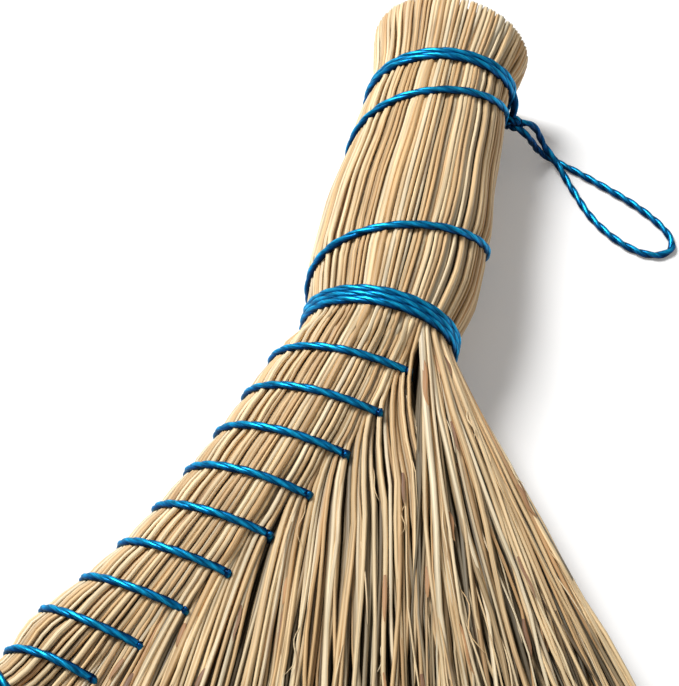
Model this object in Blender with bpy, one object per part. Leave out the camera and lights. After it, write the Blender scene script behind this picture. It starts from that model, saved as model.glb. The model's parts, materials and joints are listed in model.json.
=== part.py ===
"""Whisk broom of bundled straw, bound and stitched with a blue cord. Metres, +Z up.

The broom lies on its belly, with the handle along +Y. Thirteen bundles of straw lie side by side in the
handle. The three on the right leave at the neck. The others run on as the curved spine of the wing, and after
each stitch the bundle nearest to the brush leaves it. One cord winds the handle, a second stitches the spine.
"""
import math

import bmesh
import bpy
from mathutils import Matrix, Vector
from mathutils.geometry import interpolate_bezier

MM = 0.001

# Handle, measured from the middle of the neck winding to the cut butt end
HANDLE_LENGTH = 84 * MM
RIM_RADIUS = 19.0 * MM
TOP_RADIUS = 17.0 * MM
GRIP_RADIUS = 18.3 * MM
BELLY_RADIUS = 20.0 * MM
NECK_RADIUS = 17.8 * MM
FLARE_LENGTH = 15 * MM          # from the butt down to the two turns at the top
GRIP_DROP = 36 * MM             # from the butt down to the slim part of the grip
BELLY_TOP = 28 * MM             # the belly lies between these two heights above the neck
BELLY_FOOT = 13 * MM
BELLY_FLAT = 0.4 * MM           # how deep the belly is pressed flat where the broom lies on it

# Spine of the wing, measured along its middle from the neck
SPINE_START_LEFT = 2.3 * MM     # it starts left of the handle's axis, because the neck bundles have left
SPINE_START_DOWN = 1.0 * MM
SPINE_FIRST_HEADING = 17.6      # degrees to the left of straight down
SPINE_LAST_HEADING = 42.0
SPINE_ROOT_WIDTH = 30.2 * MM
SPINE_TIP_WIDTH = 21.6 * MM
SPINE_ROOT_THICKNESS = 28.4 * MM
SPINE_TIP_THICKNESS = 18.2 * MM
SPINE_TIP_HEIGHT = 11.4 * MM    # middle of the spine above the ground at the last stitch
END_WIDTH = 13.6 * MM           # the tip bundle inside the end wrap
END_THICKNESS = 12.6 * MM
NECK_BLEND = 9 * MM             # over this length the round neck turns into the flat spine
BRUSH_SIDE_SHARE = 0.62         # height of the spine's blunt brush side over the height of its middle

# Cord and where it goes
CORD_DIAMETER = 1.8 * MM
CORD_PROUD = 0.2 * MM           # how far a turn stands out of the straw that it bites into
TURN_GAP = 0.55 * MM            # between close turns
FIT_GAP = 0.3 * MM              # between a cord and the straw under it, and between cut faces
NECK_TURNS = 3
BELLY_TURN_LEFT = 6.2 * MM      # heights above the neck where the winding passes the left and the right side
BELLY_TURN_RIGHT = 26 * MM
GRIP_TURN_LEFT = 46 * MM
TOP_SIDE_DROP = 17.4 * MM       # from the butt down to where it passes the right side below the top turns
TOP_TURN_LEFT_DROP = 21.6 * MM  # from the butt down to the first of the top turns
TOP_TURN_RIGHT_DROP = 11.4 * MM
STITCH_COUNT = 9
STITCH_PITCH = 11.0 * MM
FIRST_STITCH_GAP = 4.4 * MM     # from the neck winding to where the first stitch meets the brush side
END_WRAP_TURNS = 4
END_WRAP_DISTANCE = 3.2 * MM    # from the last stitch's left end to the first turn of the end wrap
PINCH_MARGIN = 0.4 * MM         # the straw is pressed in fully this far beyond the cord's edge
PINCH_SLOPE = 2.4 * MM          # and swells back to its full size over this length
WINDING_POINTS = 16             # along one turn
WINDING_RESOLUTION = 1
SAG_SHARE = 0.7                 # a turn of short straight runs rides out by this share of a run's sag
HUMP_SHARE = 0.55               # where the winding's end is highest on its way to the knot
CROSSING_ROUNDS = 4             # of working out where the winding crosses a line between bundles

# Straw
NECK_BUNDLES = 3
TIP_UNITS = 3                   # the tip bundle is as wide as this many of the others
BUNDLE_GAP = 0.3 * MM
FLUTE_DEPTH = 0.35 * MM
EDGE_HEIGHT = 1.2 * MM          # half the height of a bundle's side where the broom's outline ends
CUT_AFTER_STITCH = 2.6 * MM     # a bundle is open to its brush from here, along the spine
CUT_BEFORE_STITCH = 2.4 * MM    # to here, before the next stitch

# Brush
RIGHT_EDGE_HEADING = 37.0       # degrees to the right of straight down
FIRST_BRUSH_HEADING = 18.0
LAST_BRUSH_HEADING = -21.0
LEFT_EDGE_HEADING = -40.0
BRUSH_GAP = 0.35 * MM           # half the gap between two brushes
BRUSH_MERGE = 26 * MM           # over this length the brushes spread until they lie side by side
BRUSH_ROOT_HEIGHT = 4 * MM      # least half height where a brush leaves the binding
BACKING_LENGTH = 8 * MM
TRIM_RADIUS = 241 * MM          # the tips are cut on an arc round a point near the butt
TRIM_CENTRE_RIGHT = 10 * MM
TRIM_CENTRE_UP = 80 * MM
TRIM_SCATTER = 3 * MM
TIP_THICKNESS = 13.5 * MM
STRAND_LEVELS = 12              # layers of strands over the brush's thickness, with two strands in each
STRAND_MIDDLE_RADIUS = 0.7 * MM
STRAND_TIP_RADIUS = 0.42 * MM
STRAND_MIDDLE_SHARE = 0.45      # where a strand's middle ring sits between root and tip
STRAND_PLACE_SHARES = (0.25, 0.75)
STRAND_SPREAD_SHARE = 0.19      # how far a layer's two strands are shifted sideways

# Knot and hanging loop
KNOT_RADIUS = 2.5 * MM
KNOT_HALF_HEIGHT = 2.9 * MM
KNOT_SEGMENTS = 16
KNOT_RINGS = 9
KNOT_STAND_OFF = 1.9 * MM       # from the straw below the top turns to the middle of the knot
KNOT_DROP = 14.6 * MM           # from the butt down to the knot
KNOT_BELOW_AXIS = 6.3 * MM
LOOP_RESOLUTION = 2
LOOP_STEP = 2.1 * CORD_DIAMETER
LOOP_FINENESS = 17              # points on the smooth curve between two points of the route
GROUND_GAP = 0.02 * MM

CORD_RADIUS = CORD_DIAMETER / 2
BITE = CORD_DIAMETER + FIT_GAP - CORD_PROUD
PINCH_FLOOR = CORD_RADIUS + PINCH_MARGIN
RUN_SAG = BELLY_RADIUS * (1 - math.cos(math.pi / WINDING_POINTS))
RIDE = FIT_GAP + CORD_RADIUS + SAG_SHARE * RUN_SAG  # from the pressed straw to the middle of the cord on it
TURN_STEP = CORD_DIAMETER + TURN_GAP
AXIS_HEIGHT = BELLY_RADIUS - BELLY_FLAT
LYING_HEIGHT = CORD_RADIUS + GROUND_GAP         # middle of a cord that lies on the ground
NECK_STRAW = NECK_RADIUS - BITE
NECK_WRAP_FOOT = -NECK_TURNS * TURN_STEP / 2
NECK_EDGE = FIT_GAP - NECK_WRAP_FOOT
NECK_CUT = CORD_DIAMETER - NECK_WRAP_FOOT
UNITS = NECK_BUNDLES + STITCH_COUNT + TIP_UNITS
SPINE_UNITS = UNITS - NECK_BUNDLES
BUNDLE_COUNT = NECK_BUNDLES + STITCH_COUNT + 1
FIRST_STITCH = NECK_EDGE + FIRST_STITCH_GAP
LAST_STITCH = FIRST_STITCH + (STITCH_COUNT - 1) * STITCH_PITCH
LAST_RELEASE = LAST_STITCH + STITCH_PITCH
END_WRAP = LAST_RELEASE + END_WRAP_DISTANCE
SPINE_END = END_WRAP + END_WRAP_TURNS * TURN_STEP + CORD_DIAMETER
KNOT_PLACE = Vector((
    TOP_RADIUS + KNOT_STAND_OFF,
    HANDLE_LENGTH - KNOT_DROP,
    AXIS_HEIGHT - KNOT_BELOW_AXIS,
))

# Radius of the handle at stations along it, which are below zero on the handle's side of the neck
HANDLE_PROFILE = (
    (-HANDLE_LENGTH, RIM_RADIUS),
    (FLARE_LENGTH - HANDLE_LENGTH, TOP_RADIUS),
    (GRIP_DROP - HANDLE_LENGTH, GRIP_RADIUS),
    (-BELLY_TOP, BELLY_RADIUS),
    (-BELLY_FOOT, BELLY_RADIUS),
    (0, NECK_RADIUS),
)

# The hanging loop, from its upper root at the knot round to its lower root. It crosses over itself near the
# knot and its far part lies on the ground. Millimetres to the right of a cord laid against the knot's side,
# millimetres up the handle from the knot, and the height as a share, from 0 where the loop lies on the ground
# to 1 at the middle of the knot.
LOOP_ROUTE = (
    (-0.8, 1.2, 1.065), (0.7, 2.0, 1.09), (2.4, 2.9, 0.93), (3.7, 3.2, 0.62), (5.6, 2.1, 0.32),
    (8.1, -0.4, 0.176), (10.7, -3.4, 0.087), (13.3, -6.5, 0.015), (16.1, -10.1, 0), (19.1, -13.9, 0),
    (22.9, -17.4, 0), (27.3, -20.2, 0), (31.9, -22.1, 0), (36.3, -22.9, 0), (39.9, -22.2, 0),
    (41.9, -20.0, 0), (41.3, -17.1, 0), (38.6, -14.2, 0), (34.7, -11.3, 0), (30.0, -8.7, 0),
    (24.9, -6.4, 0), (19.5, -4.1, 0), (14.0, -1.9, 0), (8.9, -0.1, 0), (5.9, 0.4, 0.094),
    (3.7, -0.2, 0.313), (2.3, -1.1, 0.588), (0.8, -1.8, 0.847), (-0.8, -1.3, 0.928),
)

STRAW_COLOURS = ((0.83, 0.66, 0.40), (0.78, 0.59, 0.34), (0.88, 0.73, 0.48))
BRUSH_COLOURS = ((0.70, 0.55, 0.33), (0.62, 0.50, 0.30), (0.75, 0.62, 0.40))
CORD_COLOUR = (0.01, 0.12, 0.36)
STRAW_ROUGHNESS = 0.6
BRUSH_ROUGHNESS = 0.7
CORD_ROUGHNESS = 0.3
SHARP_ANGLE = 32.0              # degrees


def clear_scene():
    for thing in list(bpy.data.objects):
        bpy.data.objects.remove(thing, do_unlink=True)


def make_material(name, colour, roughness):
    material = bpy.data.materials.new(name)
    material.use_nodes = True
    shader = material.node_tree.nodes["Principled BSDF"]
    shader.inputs["Base Color"].default_value = (*colour, 1)
    shader.inputs["Roughness"].default_value = roughness
    shader.inputs["Metallic"].default_value = 0
    return material


def add_object(name, data, material, parent):
    data.materials.append(material)
    thing = bpy.data.objects.new(name, data)
    bpy.context.collection.objects.link(thing)
    thing.parent = parent
    return thing


def add_mesh(name, bm, material, parent):
    bmesh.ops.recalc_face_normals(bm, faces=bm.faces)
    mesh = bpy.data.meshes.new(name)
    bm.to_mesh(mesh)
    bm.free()
    mesh.shade_smooth()
    mesh.set_sharp_from_angle(angle=math.radians(SHARP_ANGLE))
    return add_object(name, mesh, material, parent)


def mix(a, b, share):
    return a + (b - a) * share


def ease(share):
    share = min(max(share, 0), 1)
    return share * share * (3 - 2 * share)


def read_curve(knots, place):
    """A smooth value through knots, which are pairs of a place and a value in rising order."""
    if place <= knots[0][0]:
        return knots[0][1]
    for (start, low), (end, high) in zip(knots, knots[1:]):
        if place <= end:
            return mix(low, high, ease((place - start) / (end - start)))
    return knots[-1][1]


# A station is a distance along the broom from the neck: below zero in the handle, above zero in the spine.
# A unit is one bundle's width, counted from the left edge of what the binding holds at a station.
# Across is a share of the held width, from 0 at the left edge to 1 at the brush side.

def half_width(station):
    if station <= 0:
        return read_curve(HANDLE_PROFILE, station)
    return read_curve((
        (0, NECK_RADIUS * SPINE_UNITS / UNITS),
        (NECK_BLEND, SPINE_ROOT_WIDTH / 2),
        (LAST_STITCH, SPINE_TIP_WIDTH / 2),
        (END_WRAP, END_WIDTH / 2),
    ), station)


def half_thickness(station):
    if station <= 0:
        return read_curve(HANDLE_PROFILE, station)
    return read_curve((
        (0, NECK_RADIUS),
        (NECK_BLEND, SPINE_ROOT_THICKNESS / 2),
        (LAST_STITCH, SPINE_TIP_THICKNESS / 2),
        (END_WRAP, END_THICKNESS / 2),
    ), station)


def middle_height(station):
    return mix(AXIS_HEIGHT, SPINE_TIP_HEIGHT, ease(station / LAST_STITCH))


def units_held(station):
    """How many units the binding still holds."""
    if station <= NECK_EDGE:
        return UNITS
    return max(SPINE_UNITS - max(station - FIRST_STITCH, 0) / STITCH_PITCH, TIP_UNITS)


def spine_share(unit, station):
    """0 in the handle and 1 in the spine. The change is short, apart from the left edge."""
    end = mix(stitch_station(1, 0), FIRST_STITCH, min(unit / TIP_UNITS, 1))
    return ease((station - NECK_EDGE) / (end - NECK_EDGE))


def spine_heading(station):
    turned = min(max(station, 0), SPINE_END) / LAST_RELEASE
    return math.radians(mix(SPINE_FIRST_HEADING, SPINE_LAST_HEADING, turned))


def spine_middle(station):
    """The middle of the spine seen from above: a line that turns steadily, in closed form."""
    point = Vector((-SPINE_START_LEFT, -SPINE_START_DOWN, 0))
    if station <= 0:
        return point
    turn = (spine_heading(station) - spine_heading(0)) / 2
    mean = (spine_heading(station) + spine_heading(0)) / 2
    return point + Vector((-math.sin(mean), -math.cos(mean), 0)) * (station * math.sin(turn) / turn)


def to_brush_side(station, share=1):
    """The level direction square to the spine, to the brush side."""
    heading = spine_heading(station) * share
    return Vector((math.cos(heading), -math.sin(heading), 0))


def line_offset(unit, held, inner_half, outer_half):
    """How far a line between bundles lies from the middle, to the brush side.

    The lines inside stay where they are, and only the broom's own two edges swell between the turns.
    """
    if unit >= held:
        return outer_half
    if unit < TIP_UNITS:
        inner = outer_half if held <= TIP_UNITS else (2 * TIP_UNITS / held - 1) * inner_half
        return mix(-outer_half, inner, unit / TIP_UNITS)
    if unit > UNITS - 1:
        return mix((1 - 2 / UNITS) * inner_half, outer_half, unit - UNITS + 1)
    return (2 * unit / held - 1) * inner_half


def handle_place(unit, station, pinch):
    """A point of the handle's round section, with z as its height over the middle."""
    radius = half_width(min(station, 0)) - pinch
    offset = line_offset(unit, UNITS, NECK_STRAW, radius)
    return Vector((offset, -station, math.sqrt(max(radius * radius - offset * offset, 0))))


def spine_place(unit, station, pinch):
    """A point of the spine's section, which is round at the left and blunt at the brush side."""
    half = half_width(station) - pinch
    offset = line_offset(unit, units_held(station), half_width(station) - BITE, half)
    across = offset / half
    rounded = math.sqrt(max(1 - across * across, 0))
    if across > 0:
        blunt = 1 - ease((station - LAST_RELEASE) / END_WRAP_DISTANCE)
        rounded = mix(rounded, 1 - (1 - BRUSH_SIDE_SHARE) * across * across, blunt)
    place = spine_middle(station) + to_brush_side(station) * offset
    place.z = (half_thickness(station) - pinch) * rounded
    return place


def winding_height(half_turns):
    """Height of the handle winding above the neck. It passes the left side at even half turns."""
    neck_start = -2 * NECK_TURNS
    if half_turns <= -1:
        return NECK_WRAP_FOOT + (half_turns - neck_start) * TURN_STEP / 2
    top_left = HANDLE_LENGTH - TOP_TURN_LEFT_DROP
    top_right = HANDLE_LENGTH - TOP_TURN_RIGHT_DROP
    knots = (
        NECK_WRAP_FOOT + (-1 - neck_start) * TURN_STEP / 2,
        BELLY_TURN_LEFT, BELLY_TURN_RIGHT, GRIP_TURN_LEFT, HANDLE_LENGTH - TOP_SIDE_DROP,
        top_left, top_right, top_left + TURN_STEP, top_right + TURN_STEP,
        top_left + 2 * TURN_STEP,
    )
    index = min(int(half_turns + 1), len(knots) - 2)
    return mix(knots[index], knots[index + 1], half_turns + 1 - index)


LAST_HALF_TURN = 7
TURN_STARTS = tuple(range(-2 * NECK_TURNS, LAST_HALF_TURN, 2))


def round_share(unit, station):
    """How far round the handle's upper side a line lies, as a share of the half turn from left to right."""
    radius = half_width(min(station, 0)) - BITE
    offset = line_offset(unit, UNITS, NECK_STRAW, radius)
    return math.acos(min(max(-offset / radius, -1), 1)) / math.pi


def winding_station(unit, start, side):
    """Where the winding crosses a line between bundles, over (1) or under (-1) the left end of one turn."""
    station = -winding_height(start + side / 2)
    for _ in range(CROSSING_ROUNDS):
        station = -winding_height(start + side * round_share(unit, station))
    return station


def stitch_station(number, across):
    """A stitch starts at the brush side and, over the top, reaches the left edge one pitch further on."""
    return FIRST_STITCH + (number - across) * STITCH_PITCH


def stitch_across(unit, number):
    """Where a stitch crosses a line between bundles, while one bundle leaves over the length of a stitch."""
    left_over = SPINE_UNITS - number
    return (math.sqrt(left_over * left_over + 4 * unit) - left_over) / 2


def pinch_at(unit, station, side, in_handle):
    """How deep the nearest cord presses the straw in, on the upper (1) or the lower (-1) side."""
    if in_handle:
        share = round_share(unit, station)
        found = [-winding_height(start + share * side) for start in TURN_STARTS]
    else:
        across = min(unit / units_held(station), 1) if side > 0 else 1
        found = [stitch_station(number, across) for number in range(1, STITCH_COUNT + 1)]
        found += [LAST_RELEASE] + [END_WRAP + turn * TURN_STEP for turn in range(END_WRAP_TURNS + 1)]
    near = min(abs(station - place) for place in found)
    return BITE * (1 - ease((near - PINCH_FLOOR) / PINCH_SLOPE))


def bundle_units(index):
    """Left and right side of a bundle in units. Bundle 1 is the rightmost, the last one is the tip bundle."""
    right = UNITS - (index - 1)
    return (0 if index == BUNDLE_COUNT else right - 1), right


def stitches_holding(index):
    return max(min(index - NECK_BUNDLES, STITCH_COUNT), 0)


def lobes_of(index):
    """Stalks that show on one side of a bundle."""
    if index == BUNDLE_COUNT:
        return 4
    if index == 1:
        return 3
    return 2 if stitches_holding(index) > STITCH_COUNT / 2 else 1


def point_share(index, share):
    """Points lie closer where the two outer bundles curve round the edge."""
    if index == 1:
        return math.sin(share * math.pi / 2)
    if index == BUNDLE_COUNT:
        return 1 - math.cos(share * math.pi / 2)
    return share


def bundle_point(unit, station, side, in_handle, groove):
    """A point on the straw's upper (1) or lower (-1) side, never below the ground or a cord lying on it."""
    share = 0 if in_handle else spine_share(unit, station)
    pinch = pinch_at(unit, station, side, share < 1)
    place = handle_place(unit, station, pinch) if share < 1 else Vector()
    if share > 0:
        pinch = pinch_at(unit, station, side, False)
        place = place.lerp(spine_place(unit, station, pinch), share)
    place.z = middle_height(0 if in_handle else station) + side * (max(place.z, EDGE_HEIGHT) - groove)
    over_a_cord = LYING_HEIGHT + RIDE + RUN_SAG
    place.z = max(place.z, over_a_cord * pinch / BITE)
    return place


def bundle_ring(index, stations):
    """One cross-section of a bundle, from the upper left round to the lower left.

    stations holds the station on the upper and on the lower side, each as a function of the unit. The neck
    bundles run straight on until they end below the neck.
    """
    left, right = bundle_units(index)
    in_handle = index <= NECK_BUNDLES
    steps = 2 * lobes_of(index)
    sides = {1: [], -1: []}
    for step in range(steps + 1):
        unit = mix(left, right, point_share(index, step / steps))
        groove = FLUTE_DEPTH if step % 2 == 0 else 0
        for side, station_of in zip((1, -1), stations):
            station = station_of(unit)
            place = bundle_point(unit, station, side, in_handle, groove)
            turned_share = 0 if in_handle else spine_share(unit, station)
            inward = to_brush_side(station, turned_share) * BUNDLE_GAP / 2
            if step == 0 and left > 0:
                place += inward
            if step == steps and right < (UNITS if in_handle else units_held(station)):
                place -= inward
            sides[side].append(place)
    return sides[1] + sides[-1][::-1]


def release_corners(index):
    """The upright edges where a bundle leaves the spine, the left one first, each with half its height."""
    number = stitches_holding(index)
    near = stitch_station(number, 1) + CUT_AFTER_STITCH
    far = stitch_station(number, 0) - CUT_BEFORE_STITCH
    corners = []
    for station, pinch in ((far, 0), (near, pinch_at(UNITS, near, 1, False))):
        place = spine_middle(station) + to_brush_side(station) * (half_width(station) - pinch)
        place.z = middle_height(station)
        corners.append((place, BRUSH_SIDE_SHARE * (half_thickness(station) - pinch)))
    return corners


def release_ring(index):
    """The slanting end of a bundle that leaves the spine, in one upright plane along the brush side."""
    (left, left_height), (right, right_height) = release_corners(index)
    steps = 2 * lobes_of(index)
    sides = {1: [], -1: []}
    for step in range(steps + 1):
        share = step / steps
        for side, points in sides.items():
            place = left.lerp(right, share)
            height = mix(left_height, right_height, share) - (FLUTE_DEPTH if step % 2 == 0 else 0)
            place.z = max(place.z + side * height, 0)
            points.append(place)
    return sides[1] + sides[-1][::-1]


def level(station):
    return (lambda unit: station, lambda unit: station)


def between(before, after, share):
    """The pair of station functions part of the way from one pair to the next."""
    return tuple(
        lambda unit, start=start, end=end: mix(start(unit), end(unit), share)
        for start, end in zip(before, after)
    )


def winding_pair(start, follows_right):
    """Stations along one turn of the winding, over the top and back under the handle."""
    def upper(unit):
        return winding_station(unit, start, 1)

    def lower(unit):
        return winding_station(unit, start + 2 if follows_right else start, -1)
    return upper, lower


def neck_pair(index):
    """Stations between the neck winding and the first stitch, where the spine starts to turn away."""
    def upper(unit):
        return mix(FIRST_STITCH, NECK_EDGE, stitch_across(unit, 1) / 2)

    def lower(unit):
        return FIRST_STITCH if index == BUNDLE_COUNT else mix(NECK_EDGE, FIRST_STITCH, 0.5)
    return upper, lower


def stitch_pair(index, number):
    def upper(unit):
        return stitch_station(number, stitch_across(unit, number))

    def lower(unit):
        return stitch_station(number, 0 if index == BUNDLE_COUNT else 1)
    return upper, lower


# Sections between two turns of the winding, listed under the lower turn's number of half turns
RINGS_BETWEEN_SHARES = {6: (0.45, 0.8), 2: (0.5,), 0: (0.12, 0.37, 0.63, 0.88), -2: (0.3, 0.65)}
RIGHT_PART_SHARE = 0.62         # bundles right of this follow the next turn where it passes under the handle


def stalk_pairs(index):
    """Station pairs of a bundle's cross-sections from the butt on, but not where it leaves the spine."""
    left, right = bundle_units(index)
    follows_right = (left + right) / 2 > RIGHT_PART_SHARE * UNITS
    pairs = [level(-HANDLE_LENGTH)]
    for start in reversed(TURN_STARTS):
        held = winding_pair(start, follows_right)
        last = pairs[-1]
        pairs += [between(last, held, share) for share in RINGS_BETWEEN_SHARES.get(start, ())]
        pairs.append(held)
    if index <= NECK_BUNDLES:
        return pairs + [level(NECK_CUT)]
    pairs += [level(NECK_EDGE), neck_pair(index)]
    for number in range(1, stitches_holding(index) + 1):
        held = stitch_pair(index, number)
        pairs += [between(pairs[-1], held, 0.5), held]
    if index == BUNDLE_COUNT:
        wrap = level(END_WRAP)
        wrap_end = level(END_WRAP + END_WRAP_TURNS * TURN_STEP)
        pairs += [between(pairs[-1], wrap, 0.5), wrap, wrap_end, level(SPINE_END)]
    return pairs


def skin_rings(bm, rings):
    """Joins rings of points, all of the same count, with faces. Returns the rings of vertices."""
    loops = [[bm.verts.new(point) for point in ring] for ring in rings]
    for near, far in zip(loops, loops[1:]):
        for index in range(len(near)):
            after = (index + 1) % len(near)
            bm.faces.new((near[index], near[after], far[after], far[index]))
    return loops


def cap_strip(bm, loop):
    """Closes a ring of upper points left to right and lower points right to left with upright strips."""
    half = len(loop) // 2
    for index in range(half - 1):
        bm.faces.new((loop[index], loop[index + 1], loop[-2 - index], loop[-1 - index]))


def make_stalks(index, material, parent):
    bm = bmesh.new()
    rings = [bundle_ring(index, pair) for pair in stalk_pairs(index)]
    if NECK_BUNDLES < index < BUNDLE_COUNT:
        rings.append(release_ring(index))
    loops = skin_rings(bm, rings)
    cap_strip(bm, loops[0])
    cap_strip(bm, loops[-1])
    return add_mesh(f"stalk_bundle_{index:02d}", bm, material, parent)


def root_corner(index, at_left):
    """A corner of a brush's root, which faces the bundle's end: its place and half the root's height."""
    if NECK_BUNDLES < index < BUNDLE_COUNT:
        corners = release_corners(index)
    else:
        station = NECK_CUT if index <= NECK_BUNDLES else SPINE_END
        ring = bundle_ring(index, level(station))
        middle = middle_height(min(station, 0) if index <= NECK_BUNDLES else station)
        half = len(ring) // 2
        corners = [(Vector((*ring[place].xy, middle)), ring[place].z - middle) for place in (0, half - 1)]
    way = (corners[0][0] - corners[1][0]).normalized()
    place, height = corners[0] if at_left else corners[1]
    return place + Vector((-way.y, way.x, 0)).normalized() * FIT_GAP, max(height, BRUSH_ROOT_HEIGHT)


def brush_heading(boundary):
    """Heading of the line between two brushes, in degrees to the right. Boundary 0 is the right edge."""
    if boundary <= NECK_BUNDLES:
        return mix(RIGHT_EDGE_HEADING, FIRST_BRUSH_HEADING, boundary / NECK_BUNDLES)
    if boundary < BUNDLE_COUNT:
        return mix(FIRST_BRUSH_HEADING, LAST_BRUSH_HEADING, (boundary - NECK_BUNDLES) / STITCH_COUNT)
    return LEFT_EDGE_HEADING


def boundary_line(boundary, side):
    """Start and direction of a brush's edge where brushes lie side by side. side is 1 for its right edge."""
    heading = math.radians(brush_heading(boundary))
    forward = Vector((math.sin(heading), -math.cos(heading), 0))
    rightward = Vector((math.cos(heading), math.sin(heading), 0))
    corners = []
    if boundary > 0:
        corners.append(root_corner(boundary, True)[0])
    if boundary < BUNDLE_COUNT:
        corners.append(root_corner(boundary + 1, False)[0])
    start = sum(corners, Vector()) / len(corners)
    return start - rightward * side * BRUSH_GAP, forward


class Brush:
    """The space of one brush: width 0 at its right edge to 1 at its left, level -1 at its foot to 1 on top."""

    def __init__(self, index):
        self.corners = [root_corner(index, False), root_corner(index, True)]
        self.lines = [boundary_line(index - 1, 1), boundary_line(index, -1)]

    def edge(self, which, reach):
        corner = self.corners[which][0]
        start, forward = self.lines[which]
        flat = Vector((start.x, start.y, corner.z))
        return corner.lerp(flat, ease(reach / BRUSH_MERGE)) + forward * reach

    def flat_place(self, width, reach):
        return self.edge(0, reach).lerp(self.edge(1, reach), width)

    def trim_reach(self, width, scatter):
        """How far a strand runs until it meets the arc that the tips are cut on."""
        near = self.flat_place(width, BRUSH_MERGE)
        forward = self.flat_place(width, 2 * BRUSH_MERGE) - near
        centre = Vector((TRIM_CENTRE_RIGHT, TRIM_CENTRE_UP, near.z))
        offset = near - centre
        a = forward.length_squared
        b = offset.dot(forward)
        c = offset.length_squared - (TRIM_RADIUS - scatter) ** 2
        return BRUSH_MERGE * (1 + (math.sqrt(b * b - a * c) - b) / a)

    def place(self, width, height_level, reach, whole):
        """A point in the brush. whole is the reach of its tip, where the brush lies on the ground."""
        point = self.flat_place(width, reach)
        root = point.z + height_level * mix(self.corners[0][1], self.corners[1][1], width)
        tip = (height_level * STRAND_LEVELS / (STRAND_LEVELS - 1) + 1) / 2 * TIP_THICKNESS
        point.z = mix(root, tip, min(reach / whole, 1))
        return point


def scattered(number):
    """A share from 0 to 1 that looks irregular and is the same each time."""
    return number * 0.618034 % 1


def make_strand(bm, base, brush, width, height_level, scatter):
    """Draws a three-sided strand out of a triangle of the backing's end."""
    whole = brush.trim_reach(width, scatter)
    middle = sum((vert.co for vert in base), Vector()) / 3
    spokes = [(vert.co - middle).normalized() for vert in base]
    last = base
    for reach, radius in ((STRAND_MIDDLE_SHARE * whole, STRAND_MIDDLE_RADIUS), (whole, STRAND_TIP_RADIUS)):
        centre = brush.place(width, height_level, reach, whole)
        ring = []
        for spoke in spokes:
            point = centre + spoke * radius
            point.z = max(point.z, 0)
            ring.append(bm.verts.new(point))
        for index in range(3):
            after = (index + 1) % 3
            bm.faces.new((last[index], last[after], ring[after], ring[index]))
        last = ring
    bm.faces.new(last)


def make_brush(index, material, parent):
    """A slice of the bundle, with its strands drawn out of the far end."""
    brush = Brush(index)
    bm = bmesh.new()
    whole = brush.trim_reach(0.5, 0)
    levels = [2 * step / STRAND_LEVELS - 1 for step in range(STRAND_LEVELS + 1)]
    rings = []
    for reach in (0, BACKING_LENGTH):
        right = [brush.place(0, height_level, reach, whole) for height_level in levels]
        left = [brush.place(1, height_level, reach, whole) for height_level in levels]
        rings.append(right + left[::-1])
    near, far = skin_rings(bm, rings)
    cap_strip(bm, near)
    for step in range(STRAND_LEVELS):
        right_low, right_high = far[step], far[step + 1]
        left_low, left_high = far[-1 - step], far[-2 - step]
        height_level = (levels[step] + levels[step + 1]) / 2
        number = index * STRAND_LEVELS + step
        shift = STRAND_SPREAD_SHARE * (2 * scattered(number) - 1)
        bases = ((right_low, left_low, right_high), (left_low, left_high, right_high))
        for share, base in zip(STRAND_PLACE_SHARES, bases):
            scatter = TRIM_SCATTER * scattered(3 * number + share)
            make_strand(bm, base, brush, share + shift, height_level, scatter)
    return add_mesh(f"brush_{index:02d}", bm, material, parent)


def make_cord(name, points, resolution, material, parent, origin=Vector()):
    curve = bpy.data.curves.new(name, "CURVE")
    curve.dimensions = "3D"
    curve.bevel_depth = CORD_RADIUS
    curve.bevel_resolution = resolution
    curve.use_fill_caps = True
    spline = curve.splines.new("POLY")
    spline.points.add(len(points) - 1)
    for target, point in zip(spline.points, points):
        target.co = (*(point - origin), 1)
    return add_object(name, curve, material, parent)


def least_gap(points):
    """The least gap between turns of one tube, over points more than four diameters apart along it."""
    lengths = [0]
    for near, far in zip(points, points[1:]):
        lengths.append(lengths[-1] + (far - near).length)
    gap = math.inf
    for first in range(len(points)):
        for second in range(first + 1, len(points)):
            if lengths[second] - lengths[first] > 4 * CORD_DIAMETER:
                gap = min(gap, (points[first] - points[second]).length - CORD_DIAMETER)
    return gap


def ride_on_slope(height):
    """How far out a turn lies where the handle swells, so that it clears the straw square to its slope."""
    rise = half_width(min(CORD_RADIUS - height, 0)) - half_width(min(-height - CORD_RADIUS, 0))
    return RIDE * math.hypot(1, rise / CORD_DIAMETER)


def handle_winding_points():
    """Three turns at the neck, two open spiral turns, two turns at the top, and down onto the knot."""
    points = []
    steps = (LAST_HALF_TURN + 2 * NECK_TURNS) * WINDING_POINTS // 2
    for step in range(steps + 1):
        half_turns = -2 * NECK_TURNS + 2 * step / WINDING_POINTS
        height = winding_height(half_turns)
        radius = half_width(min(-height, 0)) - BITE + ride_on_slope(height)
        angle = math.pi * half_turns
        up = max(AXIS_HEIGHT + radius * math.sin(angle), LYING_HEIGHT)
        points.append(Vector((-radius * math.cos(angle), height, up)))
    above = KNOT_PLACE + Vector((0, 0, KNOT_HALF_HEIGHT + FIT_GAP))
    rise = Vector((0, 0, CORD_DIAMETER))
    hump = points[-1].lerp(above + rise, HUMP_SHARE) + Vector((CORD_RADIUS, 0, CORD_DIAMETER))
    return points + [hump, above + rise, above]


STITCH_LEFT_ANGLES = (90, 67.5, 45, 22.5, 0)
STITCH_RIGHT_SHARES = (1, 0.6, 0.2)
CORNER_SHARE = 0.42             # how far the cord stands off the straw where it turns over the blunt corner


def place_in_spine(station, offset, rise):
    point = spine_middle(station) + to_brush_side(station) * offset
    point.z = middle_height(station) + rise
    return point


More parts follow.
